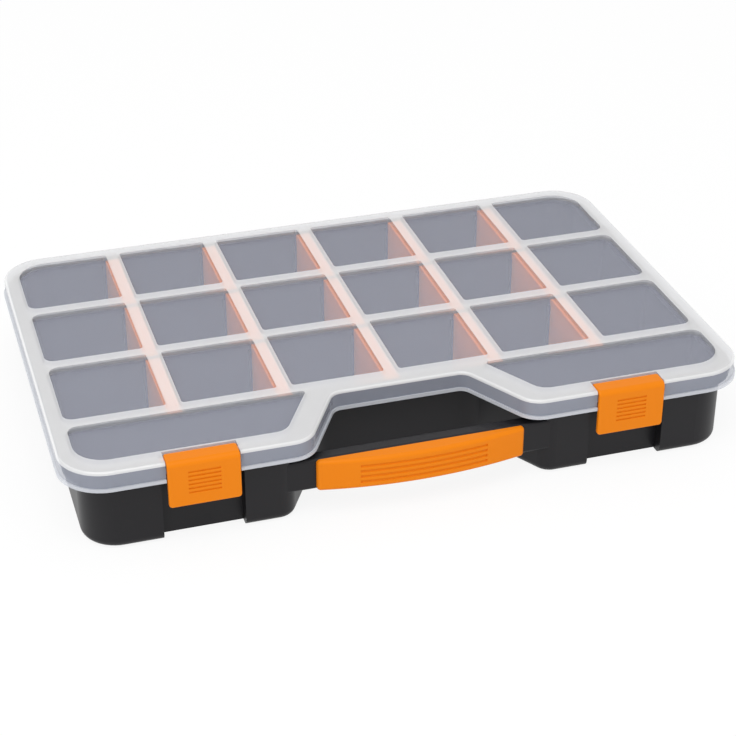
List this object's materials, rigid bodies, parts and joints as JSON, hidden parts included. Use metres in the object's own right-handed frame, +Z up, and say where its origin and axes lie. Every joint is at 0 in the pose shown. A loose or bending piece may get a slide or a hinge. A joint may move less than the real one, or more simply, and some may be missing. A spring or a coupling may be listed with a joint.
{
  "type": "compartment parts box",
  "caption": "Flat carrying case for small parts: black tray with rows and loose dividers, hinged clear lid with sunk windows, two snap latches and a handle in a front notch",
  "frame": {"origin": "centre of the tray's resting face, midway between the front and back of the lid skirt", "axes": "X to the right seen from the handle side, Y to the hinges at the back, Z up"},
  "size_m": [0.401, 0.2729, 0.0526],
  "materials": {
    "black_plastic": "fine satin moulded surface",
    "clear_plastic": "milky translucent, smooth",
    "orange_plastic": "smooth moulded plastic",
    "divider_plastic": "smooth moulded plastic",
    "pin_steel": "plain drawn wire"
  },
  "bodies": {
    "base": {"base_tray": "black_plastic", "handle_grip": "orange_plastic", "hinge_pin_left": "pin_steel", "hinge_pin_right": "pin_steel", "divider_row1_col1": "divider_plastic", "divider_row1_col2": "divider_plastic", "divider_row1_col3": "divider_plastic", "divider_row1_col4": "divider_plastic", "divider_row1_col5": "divider_plastic", "divider_row2_col1": "divider_plastic", "divider_row2_col2": "divider_plastic", "divider_row2_col3": "divider_plastic", "divider_row2_col4": "divider_plastic", "divider_row2_col5": "divider_plastic", "divider_row3_col1": "divider_plastic", "divider_row3_col2": "divider_plastic", "divider_row3_col3": "divider_plastic", "divider_row3_col4": "divider_plastic", "divider_row3_col5": "divider_plastic"},
    "lid_body": {"lid": "clear_plastic"},
    "left_latch": {"latch_left": "orange_plastic"},
    "right_latch": {"latch_right": "orange_plastic"}
  },
  "joints": [
    {"name": "lid_hinge", "type": "hinge", "parent": "base", "child": "lid_body", "pos_m": [0, 0.1345, 0.0412], "axis": [-1, 0, 0], "range_deg": [0, 110]},
    {"name": "left_latch_pivot", "type": "hinge", "parent": "lid_body", "child": "left_latch", "pos_m": [-0.1245, -0.1222, 0.0492], "axis": [-1, 0, 0], "range_deg": [0, 88]},
    {"name": "right_latch_pivot", "type": "hinge", "parent": "lid_body", "child": "right_latch", "pos_m": [0.1245, -0.1222, 0.0492], "axis": [-1, 0, 0], "range_deg": [0, 88]}
  ]
}
